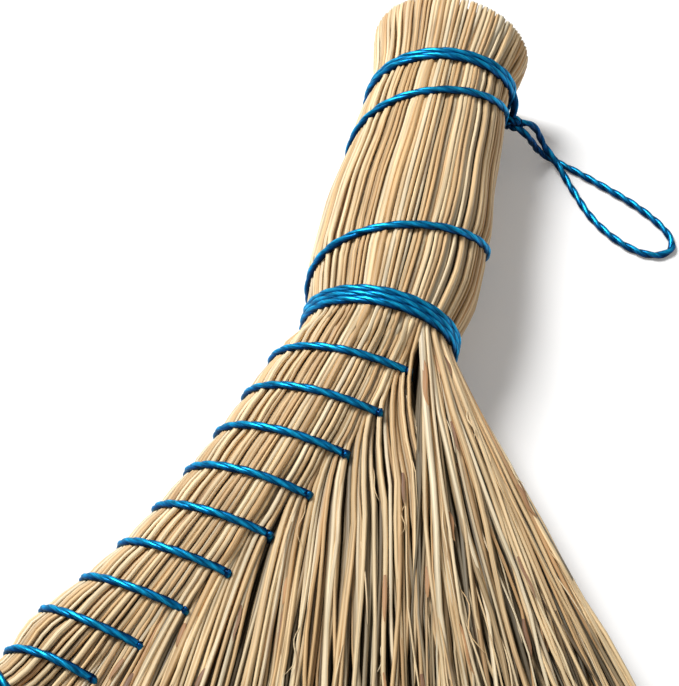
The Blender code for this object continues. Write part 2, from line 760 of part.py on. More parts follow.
def around_spine(number, side):
    """One crossing of the spine by the stitching, over the top from the brush side, or back underneath."""
    points = []
    places = [(1, CORNER_SHARE, 1)] + [(share, 1, CORNER_SHARE) for share in STITCH_RIGHT_SHARES]
    for across, rise_share, reach_share in places:
        station = stitch_station(number, (across + 1) / 2 if side > 0 else 0)
        height = (half_thickness(station) - BITE) * (1 - (1 - BRUSH_SIDE_SHARE) * across * across)
        offset = across * (half_width(station) - BITE + reach_share * RIDE)
        points.append(place_in_spine(station, offset, side * (height + rise_share * RIDE)))
    for degrees in STITCH_LEFT_ANGLES:
        angle = math.radians(degrees)
        station = stitch_station(number, (1 - math.cos(angle)) / 2 if side > 0 else 0)
        offset = -(half_width(station) - BITE + RIDE) * math.cos(angle)
        rise = (half_thickness(station) - BITE + RIDE) * math.sin(angle)
        points.append(place_in_spine(station, offset, side * rise))
    return points if side > 0 else points[::-1]


def stitching_points():
    """From under the spine round it once for each stitch, then in close turns round the tip."""
    to_middle = len(STITCH_LEFT_ANGLES) - 1
    points = around_spine(0, -1)[to_middle:]
    for number in range(1, STITCH_COUNT + 1):
        points += around_spine(number, 1)
        under = around_spine(number, -1)[1:]
        points += under[:to_middle] if number == STITCH_COUNT else under
    steps = END_WRAP_TURNS * WINDING_POINTS
    for step in range(WINDING_POINTS // 4, steps + WINDING_POINTS // 2 + 1):
        turns = step / WINDING_POINTS
        station = END_WRAP + turns * TURN_STEP - TURN_STEP / 2
        angle = 2 * math.pi * turns
        across = -(half_width(station) - BITE + RIDE) * math.cos(angle)
        rise = -(half_thickness(station) - BITE + RIDE) * math.sin(angle)
        points.append(place_in_spine(station, across, rise))
    return points


def loop_points():
    """Even points on a smooth curve through the loop's own points."""
    side = KNOT_PLACE.x + KNOT_RADIUS + CORD_RADIUS
    route = [
        Vector((side + right * MM, KNOT_PLACE.y + up * MM, mix(LYING_HEIGHT, KNOT_PLACE.z, share)))
        for right, up, share in LOOP_ROUTE
    ]
    route = [route[0] * 2 - route[1]] + route + [route[-1] * 2 - route[-2]]
    fine = []
    for before, near, far, after in zip(route, route[1:], route[2:], route[3:]):
        leaving = near + (far - before) / 6
        arriving = far - (after - near) / 6
        fine += interpolate_bezier(near, leaving, arriving, far, LOOP_FINENESS)[:-1]
    fine.append(route[-2])
    for point in fine:
        point.z = max(point.z, LYING_HEIGHT)
    lengths = [0]
    for near, far in zip(fine, fine[1:]):
        lengths.append(lengths[-1] + (far - near).length)
    count = round(lengths[-1] / LOOP_STEP)
    points = []
    for step in range(count + 1):
        wanted = lengths[-1] * step / count
        index = max(place for place, length in enumerate(lengths[:-1]) if length <= wanted)
        share = (wanted - lengths[index]) / (lengths[index + 1] - lengths[index])
        points.append(fine[index].lerp(fine[index + 1], share))
    return points, lengths[-1]


def make_knot(material, parent):
    """A round, slightly tall knot, turned about the upright axis that the loop swings on."""
    bm = bmesh.new()
    bmesh.ops.create_uvsphere(bm, u_segments=KNOT_SEGMENTS, v_segments=KNOT_RINGS, radius=1)
    shape = Matrix.Diagonal((KNOT_RADIUS, KNOT_RADIUS, KNOT_HALF_HEIGHT, 1))
    bmesh.ops.transform(bm, matrix=Matrix.Translation(KNOT_PLACE) @ shape, verts=bm.verts)
    return add_mesh("loop_knot", bm, material, parent)


def broom_box(things):
    low = Vector((math.inf,) * 3)
    high = -low
    for thing in things:
        evaluated = thing.evaluated_get(bpy.context.evaluated_depsgraph_get())
        mesh = evaluated.to_mesh()
        for vert in mesh.vertices:
            place = thing.matrix_world @ vert.co
            low = Vector(map(min, low, place))
            high = Vector(map(max, high, place))
        evaluated.to_mesh_clear()
    return low, high


def build():
    clear_scene()
    broom = bpy.data.objects.new("broom", None)
    bpy.context.collection.objects.link(broom)
    cord = make_material("blue_cord", CORD_COLOUR, CORD_ROUGHNESS)
    things = []
    for index in range(1, BUNDLE_COUNT + 1):
        straw_colour = STRAW_COLOURS[index % len(STRAW_COLOURS)]
        tips_colour = BRUSH_COLOURS[index % len(BRUSH_COLOURS)]
        straw = make_material(f"straw_{index:02d}", straw_colour, STRAW_ROUGHNESS)
        tips = make_material(f"tips_{index:02d}", tips_colour, BRUSH_ROUGHNESS)
        things.append(make_stalks(index, straw, broom))
        things.append(make_brush(index, tips, broom))
    winding = handle_winding_points()
    stitching = stitching_points()
    things.append(make_cord("handle_winding", winding, WINDING_RESOLUTION, cord, broom))
    things.append(make_cord("spine_stitching", stitching, WINDING_RESOLUTION, cord, broom))
    things.append(make_knot(cord, broom))
    swing = bpy.data.objects.new("loop_swing", None)
    bpy.context.collection.objects.link(swing)
    swing.parent = broom
    swing.location = KNOT_PLACE
    points, length = loop_points()
    make_cord("hanging_loop", points, LOOP_RESOLUTION, cord, swing, KNOT_PLACE)
    bpy.context.view_layer.update()
    low, high = broom_box(things)
    broom.location = (-(low.x + high.x) / 2, -(low.y + high.y) / 2, -low.z)
    bpy.context.view_layer.update()
    print("least gap in the handle winding, mm:", round(least_gap(winding) / MM, 2))
    print("least gap in the spine stitching, mm:", round(least_gap(stitching) / MM, 2))
    print("hanging loop length, mm:", round(length / MM, 1))
    print("neck to origin, mm:", [round(value / MM, 3) for value in broom.location])
    print("knot, mm:", [round(value / MM, 3) for value in swing.matrix_world.translation])
    print("box, mm:", [round(value / MM, 2) for value in high - low])


build()
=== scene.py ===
import json
import math

import bmesh
import bpy
import numpy as np
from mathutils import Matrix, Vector
from mathutils.kdtree import KDTree


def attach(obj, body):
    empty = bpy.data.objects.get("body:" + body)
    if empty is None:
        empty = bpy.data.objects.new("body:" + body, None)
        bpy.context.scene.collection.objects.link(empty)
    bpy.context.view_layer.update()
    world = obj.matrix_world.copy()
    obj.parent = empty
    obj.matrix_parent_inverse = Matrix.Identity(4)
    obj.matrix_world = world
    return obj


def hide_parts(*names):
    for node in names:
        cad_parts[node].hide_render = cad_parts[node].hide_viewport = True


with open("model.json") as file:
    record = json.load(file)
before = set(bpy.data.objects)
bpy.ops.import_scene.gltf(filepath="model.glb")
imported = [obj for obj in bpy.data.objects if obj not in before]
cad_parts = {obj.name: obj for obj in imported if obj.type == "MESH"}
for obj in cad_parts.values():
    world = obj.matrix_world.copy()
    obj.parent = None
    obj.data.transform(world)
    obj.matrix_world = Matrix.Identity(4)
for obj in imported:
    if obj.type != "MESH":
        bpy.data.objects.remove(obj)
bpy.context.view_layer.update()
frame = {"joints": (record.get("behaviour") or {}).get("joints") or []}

# Places are worked out in millimetres from the middle of the neck winding, on the surface below it:
# right, up the handle, high. The knot says where that point lies in the frame.
mm = 0.001
knot = dict(place=(18.9, 69.4, 13.3), radius=1.35, swing=0.35, slimness=0.55, fineness=140, halfWidth=2.5,
            inlet=(-0.4, 0.6, 1.6), hump=(0.5, 0, 0.3))
neckPlace = np.array(frame["joints"][0]["pos_m"]) - np.array(knot["place"]) * mm
scene = bpy.context.scene
scene.view_settings.view_transform = "Standard"


def toFrame(points):
    return np.asarray(points, float) * mm + neckPlace


# Camera, set to the angle and framing of the photo
view = dict(heading=-12.86, elevation=60.4, target=(-9.07, -2.6, 15.0), distance=366.0, focalPixels=1600.0,
            longSide=686.0, sensor=36.0, clip=(0.01, 20))


def makeCamera():
    heading, elevation = math.radians(view["heading"]), math.radians(view["elevation"])
    ahead = Vector((math.sin(heading) * math.cos(elevation), math.cos(heading) * math.cos(elevation),
                    -math.sin(elevation)))
    data = bpy.data.cameras.new("camera")
    data.sensor_width = view["sensor"]
    data.lens = view["focalPixels"] * view["sensor"] / view["longSide"]
    data.clip_start, data.clip_end = view["clip"]
    camera = bpy.data.objects.new("camera", data)
    scene.collection.objects.link(camera)
    camera.location = Vector(toFrame(view["target"])) - ahead * view["distance"] * mm
    camera.rotation_euler = ahead.to_track_quat("-Z", "Y").to_euler()
    scene.camera = camera


makeCamera()
print("camera set")

# How the bound straw is shaped. A station is a distance along the broom from the neck: below zero in the
# handle, above zero in the spine. A unit is a fifteenth of the handle's width, counted from the left.
cordSize = dict(diameter=1.8, turnGap=0.55, rideIn=0.4, groundGap=0.02)  # rideIn: middle below the outline
turnStep = cordSize["diameter"] + cordSize["turnGap"]
handle = dict(length=84.0, axisHeight=19.6, places=(-84, -69, -48, -28, -13, 0),
              radii=(19.6, 17.2, 18.3, 20.0, 20.0, 17.8))
winding = dict(neckTurns=3, lastHalfTurn=7, left=(6.2, 46.0, 62.4), right=(26.0, 66.6, 72.6), close=1.45,
               footLift=0.3, lowest=1.15, perHalfTurn=16)  # close: from one neck or top turn to the next
firstHalfTurn = -2 * winding["neckTurns"]
spine = dict(start=(-2.3, -1.0), firstHeading=17.6, lastHeading=42.0, blend=9.0, rootWidth=30.2,
             tipWidth=21.6, rootThickness=28.4, tipThickness=18.2, tipHeight=11.4, endWidth=13.6,
             endThickness=12.6, bluntShare=0.62, edgeGap=0.3)
stitching = dict(count=9, pitch=11.0, first=8.225, endTurns=4, endDistance=3.2, bite=1.2, corner=0.42,
                 perTurn=16)
units = dict(all=15, neck=3, tip=3)
spineUnits = units["all"] - units["neck"]
lastStitch = stitching["first"] + (stitching["count"] - 1) * stitching["pitch"]
lastRelease = lastStitch + stitching["pitch"]
endWrap = lastRelease + stitching["endDistance"]
spineEnd = endWrap + stitching["endTurns"] * turnStep + cordSize["diameter"]
neckFoot = -winding["neckTurns"] * turnStep / 2
neckEdge = spine["edgeGap"] - neckFoot
neckCut = cordSize["diameter"] - neckFoot


def ease(share):
    share = np.clip(share, 0, 1)
    return share * share * (3 - 2 * share)


def mix(a, b, share):
    return a + (b - a) * share


def readCurve(places, values, at):
    places, values = np.asarray(places, float), np.asarray(values, float)
    at = np.clip(at, places[0], places[-1])
    spot = np.clip(np.searchsorted(places, at, side="right") - 1, 0, len(places) - 2)
    return mix(values[spot], values[spot + 1], ease((at - places[spot]) / (places[spot + 1] - places[spot])))


def handleRadius(station):
    return readCurve(handle["places"], handle["radii"], np.minimum(station, 0))


def spineCurve(neck, root, tip, end):
    return (0, spine["blend"], lastStitch, endWrap), (neck, root / 2, tip / 2, end / 2)


def halfWidth(station):
    neck = handle["radii"][-1]
    return readCurve(*spineCurve(neck * spineUnits / units["all"], spine["rootWidth"], spine["tipWidth"],
                                 spine["endWidth"]), station)


def halfThickness(station):
    return readCurve(*spineCurve(handle["radii"][-1], spine["rootThickness"], spine["tipThickness"],
                                 spine["endThickness"]), station)


def middleHeight(station):
    return mix(handle["axisHeight"], spine["tipHeight"], ease(station / lastStitch))


def unitsHeld(station):
    released = np.maximum(station - stitching["first"], 0) / stitching["pitch"]
    return np.maximum(spineUnits - released, units["tip"])


def spineHeading(station):
    turned = np.clip(station, 0, spineEnd) / lastRelease
    return np.radians(mix(spine["firstHeading"], spine["lastHeading"], turned))


def spineMiddle(station):
    station = np.maximum(station, 0)
    turn = (spineHeading(station) - spineHeading(0)) / 2
    mean = (spineHeading(station) + spineHeading(0)) / 2
    chord = station * np.sinc(turn / np.pi)
    return np.stack([spine["start"][0] - np.sin(mean) * chord, spine["start"][1] - np.cos(mean) * chord], -1)


def brushSide(station):
    heading = spineHeading(station)
    return np.stack([np.cos(heading), -np.sin(heading)], -1)


def windingHeight(halfTurns):
    # The neck turns climb evenly, and from there each half turn has its own height, left and right by turns
    left, right, close = winding["left"], winding["right"], winding["close"]
    foot = neckFoot + winding["footLift"]
    heights = [foot, foot + (-1 - firstHalfTurn) * close / 2, left[0], right[0], left[1], right[1],
               left[2], right[2], left[2] + close, right[2] + close, left[2] + 2 * close]
    return np.interp(halfTurns, [firstHalfTurn, *range(-1, len(heights) - 2)], heights)


def stitchStation(number, across):
    return stitching["first"] + (number - across) * stitching["pitch"]


# Cords. Their routes are the model's, drawn again here, but the neck and top turns of the winding lie closer
# together, and the loop lies up to 2 mm off near the knot and at its far end. The plies are laid round these
# routes. The bindings are pulled tight, so their three plies press into an almost smooth cord.
ply = dict(step=0.45, samples=16, resolution=2, weld=1e-7, nearlyUpright=0.2,
           loop=dict(count=2, radius=0.68, offset=0.25, lay=8.5),
           winding=dict(count=3, radius=0.66, offset=0.33, lay=16.0),
           stitch=dict(count=3, radius=0.65, offset=0.30, lay=14.0),
           knot=dict(count=2, radius=0.5, offset=0.34, lay=5.0))


def runAlong(line):
    return np.concatenate([[0], np.cumsum(np.linalg.norm(np.diff(line, axis=0), axis=1))])


def unitRows(rows):
    return rows / np.linalg.norm(rows, axis=1)[:, None]


def readLine(line, run, at):
    # The places on a line that lie these distances along it
    return np.stack([np.interp(at, run, line[:, axis]) for axis in range(3)], -1)


def smoothLine(points):
    # A Catmull-Rom curve through the points, read at even steps, and its length
    route = np.vstack([2 * points[0] - points[1], points, 2 * points[-1] - points[-2]])
    share = np.linspace(0, 1, ply["samples"] + 1)[:-1, None]
    fine = []
    for before, near, far, after in zip(route, route[1:], route[2:], route[3:]):
        fine.append(0.5 * (2 * near + (far - before) * share
                           + (2 * before - 5 * near + 4 * far - after) * share ** 2
                           + (3 * near - before - 3 * far + after) * share ** 3))
    fine = np.vstack(fine + [points[-1:]])
    run = runAlong(fine)
    at = np.linspace(0, run[-1], max(2, round(run[-1] / ply["step"]) + 1))
    return readLine(fine, run, at), run[-1]


def carriedFrames(line):
    # A side direction for each point, carried along the line without twist, and the direction square to it
    ahead = unitRows(np.gradient(line, axis=0))
    side = np.cross(ahead[0], (0, 0, 1.0))
    if np.linalg.norm(side) < ply["nearlyUpright"]:
        side = np.cross(ahead[0], (1.0, 0, 0))
    sides = []
    for direction in ahead:
        side = side - direction * np.dot(side, direction)
        side = side / np.linalg.norm(side)
        sides.append(side)
    sides = np.array(sides)
    return sides, np.cross(ahead, sides)


def linkPiece(name, mesh, body, slotName, *replaced):
    piece = bpy.data.objects.new(name, mesh)
    scene.collection.objects.link(piece)
    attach(piece, body)
    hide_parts(*replaced)
    return piece


def meshFromCurve(curve):
    holder = bpy.data.objects.new(curve.name, curve)
    scene.collection.objects.link(holder)
    mesh = bpy.data.meshes.new_from_object(holder.evaluated_get(bpy.context.evaluated_depsgraph_get()))
    bpy.data.objects.remove(holder, do_unlink=True)
    bm = bmesh.new()
    bm.from_mesh(mesh)
    bmesh.ops.remove_doubles(bm, verts=bm.verts, dist=ply["weld"])
    bmesh.ops.recalc_face_normals(bm, faces=bm.faces)
    bm.to_mesh(mesh)
    bm.free()
    mesh.shade_smooth()
    return mesh


def twistedCord(name, line, lay, outwardOf):
    # The plies wound round a line, as one mesh. Its attributes are for the material: crest says how far a
    # point stands out, 1 where it faces away from what the cord lies on, for a painted highlight there and
    # painted shade towards what it lies on, ridge how far it is from the cord's middle, for painted shade in
    # the grooves, and filament turns with the plies, for the fine threads along them
    curve = bpy.data.curves.new(name, "CURVE")
    curve.dimensions = "3D"
    curve.bevel_depth = lay["radius"] * mm
    curve.bevel_resolution = ply["resolution"]
    curve.use_fill_caps = True
    sides, ups = carriedFrames(line)
    run = runAlong(line)
    for number in range(lay["count"]):
        angle = 2 * np.pi * (run / lay["lay"] + number / lay["count"])
        offset = lay["offset"] * (np.cos(angle)[:, None] * sides + np.sin(angle)[:, None] * ups)
        points = toFrame(line + offset)
        spline = curve.splines.new("POLY")
        spline.points.add(len(points) - 1)
        spline.points.foreach_set("co", np.hstack([points, np.ones((len(points), 1))]).ravel())
    mesh = meshFromCurve(curve)
    places = np.empty(len(mesh.vertices) * 3)
    mesh.vertices.foreach_get("co", places)
    places = (places.reshape(-1, 3) - neckPlace) / mm
    tree = KDTree(len(line))
    for index, point in enumerate(line):
        tree.insert(point, index)
    tree.balance()
    near = np.array([tree.find(place)[1] for place in places])
    stand = (places - line[near]) / (lay["offset"] + lay["radius"])
    # How far each point faces out, for the painted highlight and painted shade of the material
    paintedCrestLight = (stand * outwardOf(line)[near]).sum(1)
    ridge = np.linalg.norm(stand, axis=1)
    around = np.arctan2((stand * ups[near]).sum(1), (stand * sides[near]).sum(1))
    around = around - 2 * np.pi * run[near] / lay["lay"]
    for label, values in (("paintedCrestLight", paintedCrestLight), ("ridge", ridge)):
        mesh.attributes.new(label, "FLOAT", "POINT").data.foreach_set("value", values)
    filament = np.stack([np.cos(around), run[near], np.sin(around)], -1)
    mesh.attributes.new("filament", "FLOAT_VECTOR", "POINT").data.foreach_set("vector", filament.ravel())
    return mesh


def upward(line):
    return np.tile((0, 0, 1.0), (len(line), 1))


def fromHandle(line):
    away = line - (0, 0, handle["axisHeight"])
    away[:, 1] = 0
    return unitRows(away)


def fromSpine(line):
    # Away from the nearest point of the spine's middle line
    stations = np.arange(0, spineEnd, 1.0)
    middles = np.hstack([spineMiddle(stations), middleHeight(stations)[:, None]])
    near = np.argmin(((line[:, None, :] - middles[None, :, :]) ** 2).sum(-1), axis=1)
    return unitRows(line - middles[near])


def windingLine():
    # Up the handle, then over a small hump into the knot
    steps = winding["perHalfTurn"] * (winding["lastHalfTurn"] - firstHalfTurn)
    halfTurns = np.linspace(firstHalfTurn, winding["lastHalfTurn"], steps + 1)
    height = windingHeight(halfTurns)
    radius = handleRadius(-height) - cordSize["rideIn"]
    up = np.maximum(handle["axisHeight"] + radius * np.sin(np.pi * halfTurns), winding["lowest"])
    points = np.stack([-radius * np.cos(np.pi * halfTurns), height, up], -1)
    above = np.array(knot["place"]) + knot["inlet"]
    hump = mix(points[-1], above, 0.5) + knot["hump"]
    return smoothLine(np.vstack([points, hump, above]))[0]


def placeInSpine(station, offset, rise):
    plan = spineMiddle(station) + brushSide(station) * offset
    return np.array([plan[0], plan[1], middleHeight(station) + rise])


def roundSpine(number, side):
    # Over the spine (side 1) from the right edge to the left, one pitch further on, or under it (side -1)
    # straight back to the right
    points = []
    bite, corner = stitching["bite"], stitching["corner"]
    ride = bite - cordSize["rideIn"]
    blunt = 1 - spine["bluntShare"]
    for across, riseShare, reachShare in ((1, corner, 1), (1, 1, corner), (0.6, 1, corner), (0.2, 1, corner)):
        station = stitchStation(number, (across + 1) / 2 if side > 0 else 0)
        height = (halfThickness(station) - bite) * (1 - blunt * across * across)
        offset = across * (halfWidth(station) - bite + reachShare * ride)
        points.append(placeInSpine(station, offset, side * (height + riseShare * ride)))
    for angle in np.radians((90, 67.5, 45, 22.5, 0)):
        station = stitchStation(number, (1 - math.cos(angle)) / 2 if side > 0 else 0)
        offset = -(halfWidth(station) - bite + ride) * math.cos(angle)
        rise = (halfThickness(station) - bite + ride) * math.sin(angle)
        points.append(placeInSpine(station, offset, side * rise))
    return points if side > 0 else points[::-1]


def stitchingLine():
    toMiddle = 4  # points of a run below, up to the middle of the belly
    points = roundSpine(0, -1)[toMiddle:]
    for number in range(1, stitching["count"] + 1):
        under = roundSpine(number, -1)[1:]
        points += roundSpine(number, 1) + (under[:toMiddle] if number == stitching["count"] else under)
    inner, perTurn = cordSize["rideIn"], stitching["perTurn"]
    for step in range(perTurn // 4, perTurn * stitching["endTurns"] + perTurn // 2 + 1):
        turns = step / perTurn
        station = endWrap + (turns - 0.5) * turnStep
        angle = 2 * math.pi * turns
        points.append(placeInSpine(station, -(halfWidth(station) - inner) * math.cos(angle),
                                   -(halfThickness(station) - inner) * math.sin(angle)))
    return smoothLine(np.array(points))[0]


# The hanging loop leaves the knot, crosses over itself, lies on the surface and comes back. Millimetres right
# of a cord at the knot's side, millimetres up from the knot, and height as a share, 0 lying, 1 at the knot.
loopRoute = (
    (-2.8, 0.3, 1.0), (-0.8, 0.7, 1.0), (0.7, 1.0, 0.97), (2.4, 1.5, 0.79), (3.8, 1.6, 0.53), (5.6, 0.9, 0.3),
    (8.1, -0.7, 0.18), (10.7, -3.4, 0.087), (13.3, -6.5, 0.015), (16.1, -10.1, 0), (19.1, -13.9, 0),
    (22.9, -17.4, 0), (27.1, -20.2, 0), (31.4, -22.1, 0), (35.5, -22.8, 0), (38.9, -22.0, 0),
    (40.8, -19.9, 0), (40.3, -17.0, 0), (37.9, -14.1, 0), (34.2, -11.3, 0), (29.8, -8.7, 0),
    (24.9, -6.4, 0), (19.5, -4.1, 0), (14.0, -1.9, 0), (8.9, -0.1, 0), (5.9, 0.4, 0.094),
    (3.7, -0.2, 0.313), (2.3, -1.1, 0.588), (0.8, -1.8, 0.847), (-0.8, -1.3, 0.928),
    (-2.8, -0.4, 0.97),
)


def hangingLine():
    lying = ply["loop"]["radius"] + ply["loop"]["offset"] + cordSize["groundGap"]
    side = knot["place"][0] + knot["halfWidth"] + cordSize["diameter"] / 2
    points = np.array([(side + right, knot["place"][1] + up, mix(lying, knot["place"][2], share))
                       for right, up, share in loopRoute])
    line, length = smoothLine(points)
    line[:, 2] = np.maximum(line[:, 2], points[:, 2].min())
    return line, length


def knotLine():
    turn = np.linspace(0, 2 * np.pi, knot["fineness"] + 1)
    swing = knot["radius"] * (1 + knot["swing"] * np.cos(3 * turn))
    along = knot["radius"] * knot["slimness"] * np.sin(3 * turn)
    return np.stack([swing * np.cos(2 * turn), along, swing * np.sin(2 * turn)], -1) + knot["place"]


loopLine, loopLength = hangingLine()
loop = linkPiece("hangingLoop", twistedCord("hangingLoop", loopLine, ply["loop"], upward), "loop",
                 "blue_cord", "hanging_loop")
cordPieces = [loop]
for name, line, lay, outwardOf, node in (
        ("handleWinding", windingLine(), ply["winding"], fromHandle, "handle_winding"),
        ("spineStitching", stitchingLine(), ply["stitch"], fromSpine, "spine_stitching"),
        ("loopKnot", knotLine(), ply["knot"], upward, "loop_knot")):
    cordPieces.append(linkPiece(name, twistedCord(name, line, lay, outwardOf), "broom", "blue_cord", node))
print("cords laid, loop", round(loopLength, 1), "mm")

# Straw. One straw is a plain stick of a few sides, repeated and bent along each straw's own line
straw = dict(
    seed=11, sides=5, sharpAngle=75, lowest=0.02,
    radius=0.53, radiusSpread=0.18, radiusRange=(0.36, 0.78), tipShare=0.55, thinning=1.3, endShare=0.6,
    # How the stalks stand in the handle, ring by ring, and how uneven they are
    pitch=1.06, layer=1.05, reference=18.0, innermost=1, placing=0.1, ragged=0.12, raggedSpan=(-0.3, 1),
    uneven=0.25, deep=0.2, deeper=0.85, thinColumn=0.0004,
    # Along the binding: steps, the dent below a cord, a slight wave, and the first stretch at the start
    denseLayers=2, step=3.0, coarseStep=9.0, sink=0.05, press=0.45, pressFloor=1.0, pressSlope=2.4,
    pressFrom=0.7, pressOver=0.3, wave=0.16, denseWave=0.6, waveLength=(30, 70), waveOver=12, evenOver=9,
    # The bend out of the binding
    bendBefore=7.0, bendRoom=3, bendAtNeck=1.5, bendPoints=4,
    # How deep a straw lies where it gets dim, and the few that stay lit
    dimFrom=1.0, dimOver=1.7, litShare=0.15, litDim=0.3, litEnd=8.0, litTip=30.0,
)
anyTurn = (0, 6.28)
templates = {}


def strawTemplate(rings):
    # A stick with this many rings, made once. loopShare is the way round it at each face corner
    if rings in templates:
        return templates[rings]
    bm = bmesh.new()
    bmesh.ops.create_cone(bm, cap_ends=True, segments=straw["sides"], radius1=1, radius2=1, depth=1)
    long = [edge for edge in bm.edges if abs(edge.verts[0].co.z - edge.verts[1].co.z) > 0.5]
    bmesh.ops.subdivide_edges(bm, edges=long, cuts=rings - 2, use_grid_fill=True)
    mesh = bpy.data.meshes.new("straw")
    bm.to_mesh(mesh)
    bm.free()
    co = np.array([vert.co for vert in mesh.vertices])
    ring = np.rint((co[:, 2] + 0.5) * (rings - 1)).astype(int)
    angle = np.arctan2(co[:, 1], co[:, 0])
    share = (angle / (2 * np.pi)) % 1
    loopVerts = np.array([corner.vertex_index for corner in mesh.loops])
    loopShare = share[loopVerts]
    for face in mesh.polygons:
        corners = np.arange(face.loop_start, face.loop_start + face.loop_total)
        if np.ptp(loopShare[corners]) > 0.5:
            loopShare[corners] += loopShare[corners] < 0.5
    templates[rings] = dict(mesh=mesh, ring=ring, angle=angle, loopRing=ring[loopVerts], loopShare=loopShare)
    return templates[rings]


def bendStraws(name, straws):
    # Repeats the stick once for each straw and bends every copy along its own line
    bm = bmesh.new()
    places, maps, tones, ages, dims = [], [], [], [], []
    for one in straws:
        line, thick = one["line"], one["thick"]
        template = strawTemplate(len(line))
        bm.from_mesh(template["mesh"])
        ahead = unitRows(np.gradient(line, axis=0))
        side = unitRows(np.cross(ahead, (0, 0, 1.0)))
        up = np.cross(side, ahead)
        run = runAlong(line)
        ring, angle = template["ring"], template["angle"] + one["turn"]
        flat = one.get("flat", 1.0)
        places.append(line[ring] + thick[ring, None] * (np.cos(angle)[:, None] * up[ring] * flat
                                                        + np.sin(angle)[:, None] * side[ring]))
        along = run[template["loopRing"]] + one.get("mapFrom", 0.0)
        maps.append(np.stack([template["loopShare"], along], -1))
        tones.append(np.full(len(ring), one["tone"]))
        ages.append(one["age"][ring])
        dims.append(one["dim"][ring])
    mesh = bpy.data.meshes.new(name)
    bm.to_mesh(mesh)
    bm.free()
    places = np.vstack(places)
    places[:, 2] = np.maximum(places[:, 2], straw["lowest"])
    mesh.vertices.foreach_set("co", toFrame(places).ravel())
    mesh.uv_layers.new(name="alongStraw").data.foreach_set("uv", np.vstack(maps).ravel())
    for label, values in (("tone", tones), ("age", ages), ("dim", dims)):
        mesh.attributes.new(label, "FLOAT", "POINT").data.foreach_set("value", np.concatenate(values))
    mesh.shade_smooth()
    mesh.set_sharp_from_angle(angle=math.radians(straw["sharpAngle"]))
    mesh.update()
    return mesh


def bundleOf(unit):
    return spineUnits + 1 if unit < units["tip"] else min(units["all"] - int(unit), spineUnits)


def releaseStation(unit):
    if unit >= spineUnits:
        return neckCut
    if unit < units["tip"]:
        return spineEnd
    return stitching["first"] + (spineUnits - unit) * stitching["pitch"]


def cordCrossings(unit, x, z):
    # Stations where a cord lies over this straw, in the handle and in the spine. A run over the spine slants,
    # so it meets the straw where across * (left + across) is the straw's unit
    share = math.acos(np.clip(-x / max(math.hypot(x, z), 0.01), -1, 1)) / math.pi
    starts = np.arange(firstHalfTurn, winding["lastHalfTurn"], 2)
    turns = starts + (share if z >= 0 else -share)
    turns = turns[(turns >= firstHalfTurn) & (turns <= winding["lastHalfTurn"])]
    inHandle = -windingHeight(turns)
    inSpine = [lastRelease] + [endWrap + turn * turnStep for turn in range(stitching["endTurns"] + 1)]
    for number in range(1, stitching["count"] + 1):
        left = spineUnits - number
        across = (math.sqrt(left * left + 4 * unit) - left) / 2 if z >= 0 else 1
        if across <= 1:
            inSpine.append(stitchStation(number, across))
    return inHandle, np.array(inSpine)


def pressedIn(station, crossings):
    near = np.abs(station[:, None] - crossings[None, :]).min(1)
    return straw["press"] * (1 - ease((near - straw["pressFloor"]) / straw["pressSlope"]))


def levelIn(x, z):
    # How high a straw lies in its column of the handle's section, -1 at the belly and 1 on top
    return np.clip(z / math.sqrt(max(1 - x * x, straw["thinColumn"])), -1, 1)


def boundPlace(unit, x, z, station, sink):
    # A straw's middle inside the binding. x and z are its place in the handle's round section, as shares
    inHandle, inSpine = cordCrossings(unit, x, z)
    outer = max(0.0, (math.hypot(x, z) - straw["pressFrom"]) / straw["pressOver"])
    radius = handleRadius(station) - sink - straw["sink"] - outer * pressedIn(station, inHandle)
    rounded = np.stack([radius * x, -station, handle["axisHeight"] + radius * z], -1)
    if station[-1] <= 0 or unit >= spineUnits:
        return rounded
    across = np.clip(2 * unit / unitsHeld(station) - 1, -1, 1)
    press = sink + straw["sink"] + outer * pressedIn(station, inSpine)
    height = np.sqrt(np.maximum(1 - across * across, 0))
    blunt = 1 - ease((station - lastRelease) / stitching["endDistance"])
    bluntHeight = 1 - (1 - spine["bluntShare"]) * across * across
    height = np.where(across > 0, mix(height, bluntHeight, blunt), height)
    plan = spineMiddle(station) + brushSide(station) * (across * (halfWidth(station) - press))[:, None]
    high = middleHeight(station) + levelIn(x, z) * (halfThickness(station) - press) * height
    flat = np.hstack([plan, high[:, None]])
    end = mix(stitchStation(1, 0), stitching["first"], min(unit / units["tip"], 1))
    return mix(rounded, flat, ease((station - neckEdge) / (end - neckEdge))[:, None])


# The free part of the straws. The outermost ones on the right lean and wave inwards only
brush = dict(
    rightHeading=39.5, firstHeading=18.0, lastHeading=-21.0, leftHeading=-40.0, spread=1.1, gather=0.14,
    closingNeck=1.0, closingSpine=3.4, closingOver=15, bendAfter=13.0, step=9.0, fewestSteps=6,
    trimRadius=241.0, trimCentre=(10.0, 80.0), trimScatter=4.0, shortShare=0.12, shortTimes=6,
    waves=((105, 1.1), (44, 0.3)), waveSpan=(0.7, 1.4), lift=0.6, growOver=60, growMost=1.6,
    outermost=0.9, outermostSpread=-0.6, outermostWave=-0.5, tipThickness=13.5, depth=(13, 6.5), lowest=0.35,
)


def brushHeading(unit):
    if unit >= spineUnits:
        return mix(brush["rightHeading"], brush["firstHeading"], (units["all"] - unit) / units["neck"])
    if unit >= units["tip"]:
        return mix(brush["firstHeading"], brush["lastHeading"], (spineUnits - unit) / stitching["count"])
    return mix(brush["lastHeading"], brush["leftHeading"], (units["tip"] - unit) / units["tip"])


def trimReach(root, ahead, scatter):
    # How far it is from the root to the arc of the trim
    offset = root[:2] - brush["trimCentre"]
    b = offset @ ahead
    c = offset @ offset - (brush["trimRadius"] - scatter) ** 2
    return math.sqrt(b * b - c) - b


